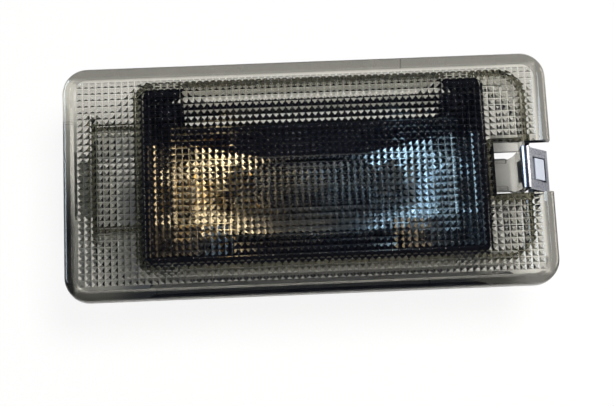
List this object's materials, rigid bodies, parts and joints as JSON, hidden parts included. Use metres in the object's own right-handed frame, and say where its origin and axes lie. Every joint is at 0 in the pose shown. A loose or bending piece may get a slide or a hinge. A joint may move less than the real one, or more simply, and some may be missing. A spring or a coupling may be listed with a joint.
{
  "type": "car trunk light",
  "caption": "Snap-in trunk light with a smoked prismatic lens, dark housing, festoon bulb and reflector, held by a fixed hook and a sprung steel latch.",
  "frame": {"origin": "centre of the lamp's bounding box, on the back of the housing on which it lies", "axes": "+X from the fixed hook to the latch, +Y across the lens towards the wider side of the skirt, +Z out through the lens"},
  "size_m": [0.089, 0.0436, 0.0246],
  "materials": {
    "smoked_lens": "clear smoked polycarbonate, polished",
    "housing_plastic": "black moulded plastic, satin",
    "reflector_aluminium": "bright rolled sheet",
    "contact_brass": "rolled strip",
    "contact_tinned": "tinned strip",
    "bulb_glass": "clear",
    "cap_metal": "nickel plated",
    "solder": "dull tin",
    "bulb_wire": "bare wire",
    "spring_steel": "blued spring steel"
  },
  "bodies": {
    "lamp": {"lens": "smoked_lens", "housing": "housing_plastic", "reflector": "reflector_aluminium", "contact_left": "contact_brass", "contact_right": "contact_tinned", "bulb_glass": "bulb_glass", "bulb_cap_left": "cap_metal", "bulb_cap_right": "cap_metal", "solder_tip_left": "solder", "solder_tip_right": "solder", "lead_wire_left": "bulb_wire", "lead_wire_right": "bulb_wire", "filament": "bulb_wire"},
    "clip": {"spring_clip": "spring_steel"}
  },
  "joints": [
    {"name": "clip_press", "type": "hinge", "parent": "lamp", "child": "clip", "pos_m": [0.03987, 0, 0.0235], "axis": [0, 1, 0], "range_deg": [0, 12], "stiffness_Nm_per_rad": 0.25}
  ]
}
